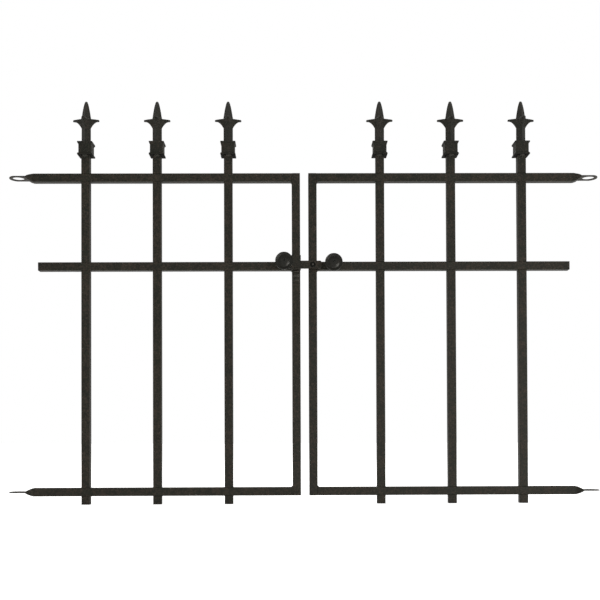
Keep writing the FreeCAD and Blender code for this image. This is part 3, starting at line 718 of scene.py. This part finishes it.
def build():
    """Every piece of the gate: the pieces of each leaf, then the latch."""
    dice = random.Random("cast pieces of the gate")
    for leaf, body in LEAVES.items():
        bars = [f"{leaf}_{bar}" for bar in ("stile", "bottom_rail", "mid_rail", "top_rail", "end_plugs")]
        for index in PICKETS:
            bars += [f"{leaf}_picket_{index}_{bar}" for bar in ("foot", "lower_bar", "upper_bar", "head")]
            collar(f"{leaf}_cast_collar_{index}", f"{leaf}_collar_{index}", body, dice)
            finial(f"{leaf}_cast_finial_{index}", f"{leaf}_finial_{index}", body, dice)
        for node in bars:
            keep(node, TUBE_PAINT, 0.35)
        for rail in ("bottom", "top"):
            hinge_eye(f"{leaf}_{rail}_hinge_eye", f"{leaf}_{rail}_eye", body, OUTWARD[leaf])
        leaf_welds(leaf)
    catch_welds()
    keep("catch", STRIP_PAINT, 1.1)
    keep("latch_lever", STRIP_PAINT, 0.4)
    knob("lever_knob_turned", "lever_knob", "lever")
    knob("pull_knob_turned", "pull_knob", "right_leaf")
    hammered_rivet()
    spacer_ring()
    pan_screw("lever_knob_fixing", "lever_knob_screw", "lever")
    pan_screw("pull_knob_fixing", "pull_knob_screw", "right_leaf")


build()


# ---------------------------------------------------------------- studio

def floor():
    """A wide pale floor a hair below the picket feet. It glows only where the camera sees it directly."""
    finish = Finish("pale_floor", {"Specular IOR Level": 0.1, "Emission Strength": 1.0})
    shown = finish.node("ShaderNodeLightPath", output="Is Camera Ray")
    glow = finish.blend(shown, rgb(0.0, 0.0, 0.0), rgb(0.80, 0.80, 0.80))
    finish.feed(finish.shader.inputs["Emission Color"], glow)
    tone = finish.noise(finish.place, 3.0)
    pale = finish.blend(tone, rgb(0.95, 0.95, 0.95), rgb(0.93, 0.93, 0.93))
    finish.coat(pale, 0.80 + tone * 0.08, tone * 0.0002)
    mesh = bmesh.new()
    bmesh.ops.create_grid(mesh, x_segments=8, y_segments=8, size=40.0)
    data = bpy.data.meshes.new("studio_floor")
    mesh.to_mesh(data)
    mesh.free()
    data.materials.append(finish.material)
    ground = bpy.data.objects.new("studio_floor", data)
    ground.location = (0.0, 0.0, CAD_BOX[0].z - 0.2 * MM)
    bpy.context.scene.collection.objects.link(ground)


def softbox(name, place, target, size, power):
    """A lit panel of a width and a height in metres, turned to its target. The camera doesn't see it."""
    light = bpy.data.lights.new(name, "AREA")
    light.shape, light.size, light.size_y = "RECTANGLE", *size
    light.energy = power
    lamp = bpy.data.objects.new(name, light)
    lamp.location = place
    lamp.rotation_euler = (Vector(target) - Vector(place)).to_track_quat("-Z", "Y").to_euler()
    lamp.visible_camera = False
    bpy.context.scene.collection.objects.link(lamp)


def room_light(white, front, back, sides):
    """The room: it looks as bright as its white all round, and lights the gate by other strengths from the
    front and the back, with so much more from the two sides."""
    world = bpy.data.worlds.new("studio_air")
    world.use_nodes = True
    bpy.context.scene.world = world
    world.node_tree.nodes.clear()
    room = Board(world.node_tree)
    direction = room.node("ShaderNodeTexCoord", output="Generated")
    towards_back = room.node("ShaderNodeSeparateXYZ", {}, {"Vector": direction}, "Y")
    towards_side = room.node("ShaderNodeSeparateXYZ", {}, {"Vector": direction}, "X")
    strength = room.between(towards_back, -0.25, 0.7, front, back) + towards_side * towards_side * sides
    cast = room.node("ShaderNodeBackground", {}, {"Color": rgb(1.0, 0.99, 0.97), "Strength": strength})
    shown = room.node("ShaderNodeBackground", {}, {"Color": rgb(1.0, 1.0, 1.0), "Strength": white})
    from_camera = room.node("ShaderNodeLightPath", output="Is Camera Ray")
    both = room.node("ShaderNodeMixShader", {}, {0: from_camera, 1: cast, 2: shown})
    output = world.node_tree.nodes.new("ShaderNodeOutputWorld")
    room.feed(output.inputs["Surface"], both)


floor()
room_light(white=1.0, front=0.41, back=0.42, sides=0.36)
middle = (CAD_BOX[0] + CAD_BOX[1]) / 2
softbox("overhead_softbox", (middle.x, 1.6, 3.2), (middle.x, 0.2, 0.2), (4.0, 2.4), power=60.0)
softbox("low_right_softbox", (2.0, -3.6, 0.10), (middle.x, 0.0, 0.42), (1.3, 0.5), power=25.0)

EYE_POINT = (0.5272, -1.7291, 0.0968)
PAN, PITCH, ROLL = -0.456, 90.75, -0.209
lens = bpy.data.cameras.new("gate_camera")
lens.sensor_width = 36.0
lens.lens = 53.868
lens.shift_y = 0.215
lens.clip_start, lens.clip_end = 0.05, 200.0
camera = bpy.data.objects.new("gate_camera", lens)
camera.matrix_world = (Matrix.Translation(EYE_POINT)
                       @ Matrix.Rotation(math.radians(PAN), 4, "Z")
                       @ Matrix.Rotation(math.radians(PITCH), 4, "X")
                       @ Matrix.Rotation(math.radians(ROLL), 4, "Z"))
bpy.context.scene.collection.objects.link(camera)
bpy.context.scene.camera = camera
bpy.context.scene.view_settings.view_transform = "Standard"
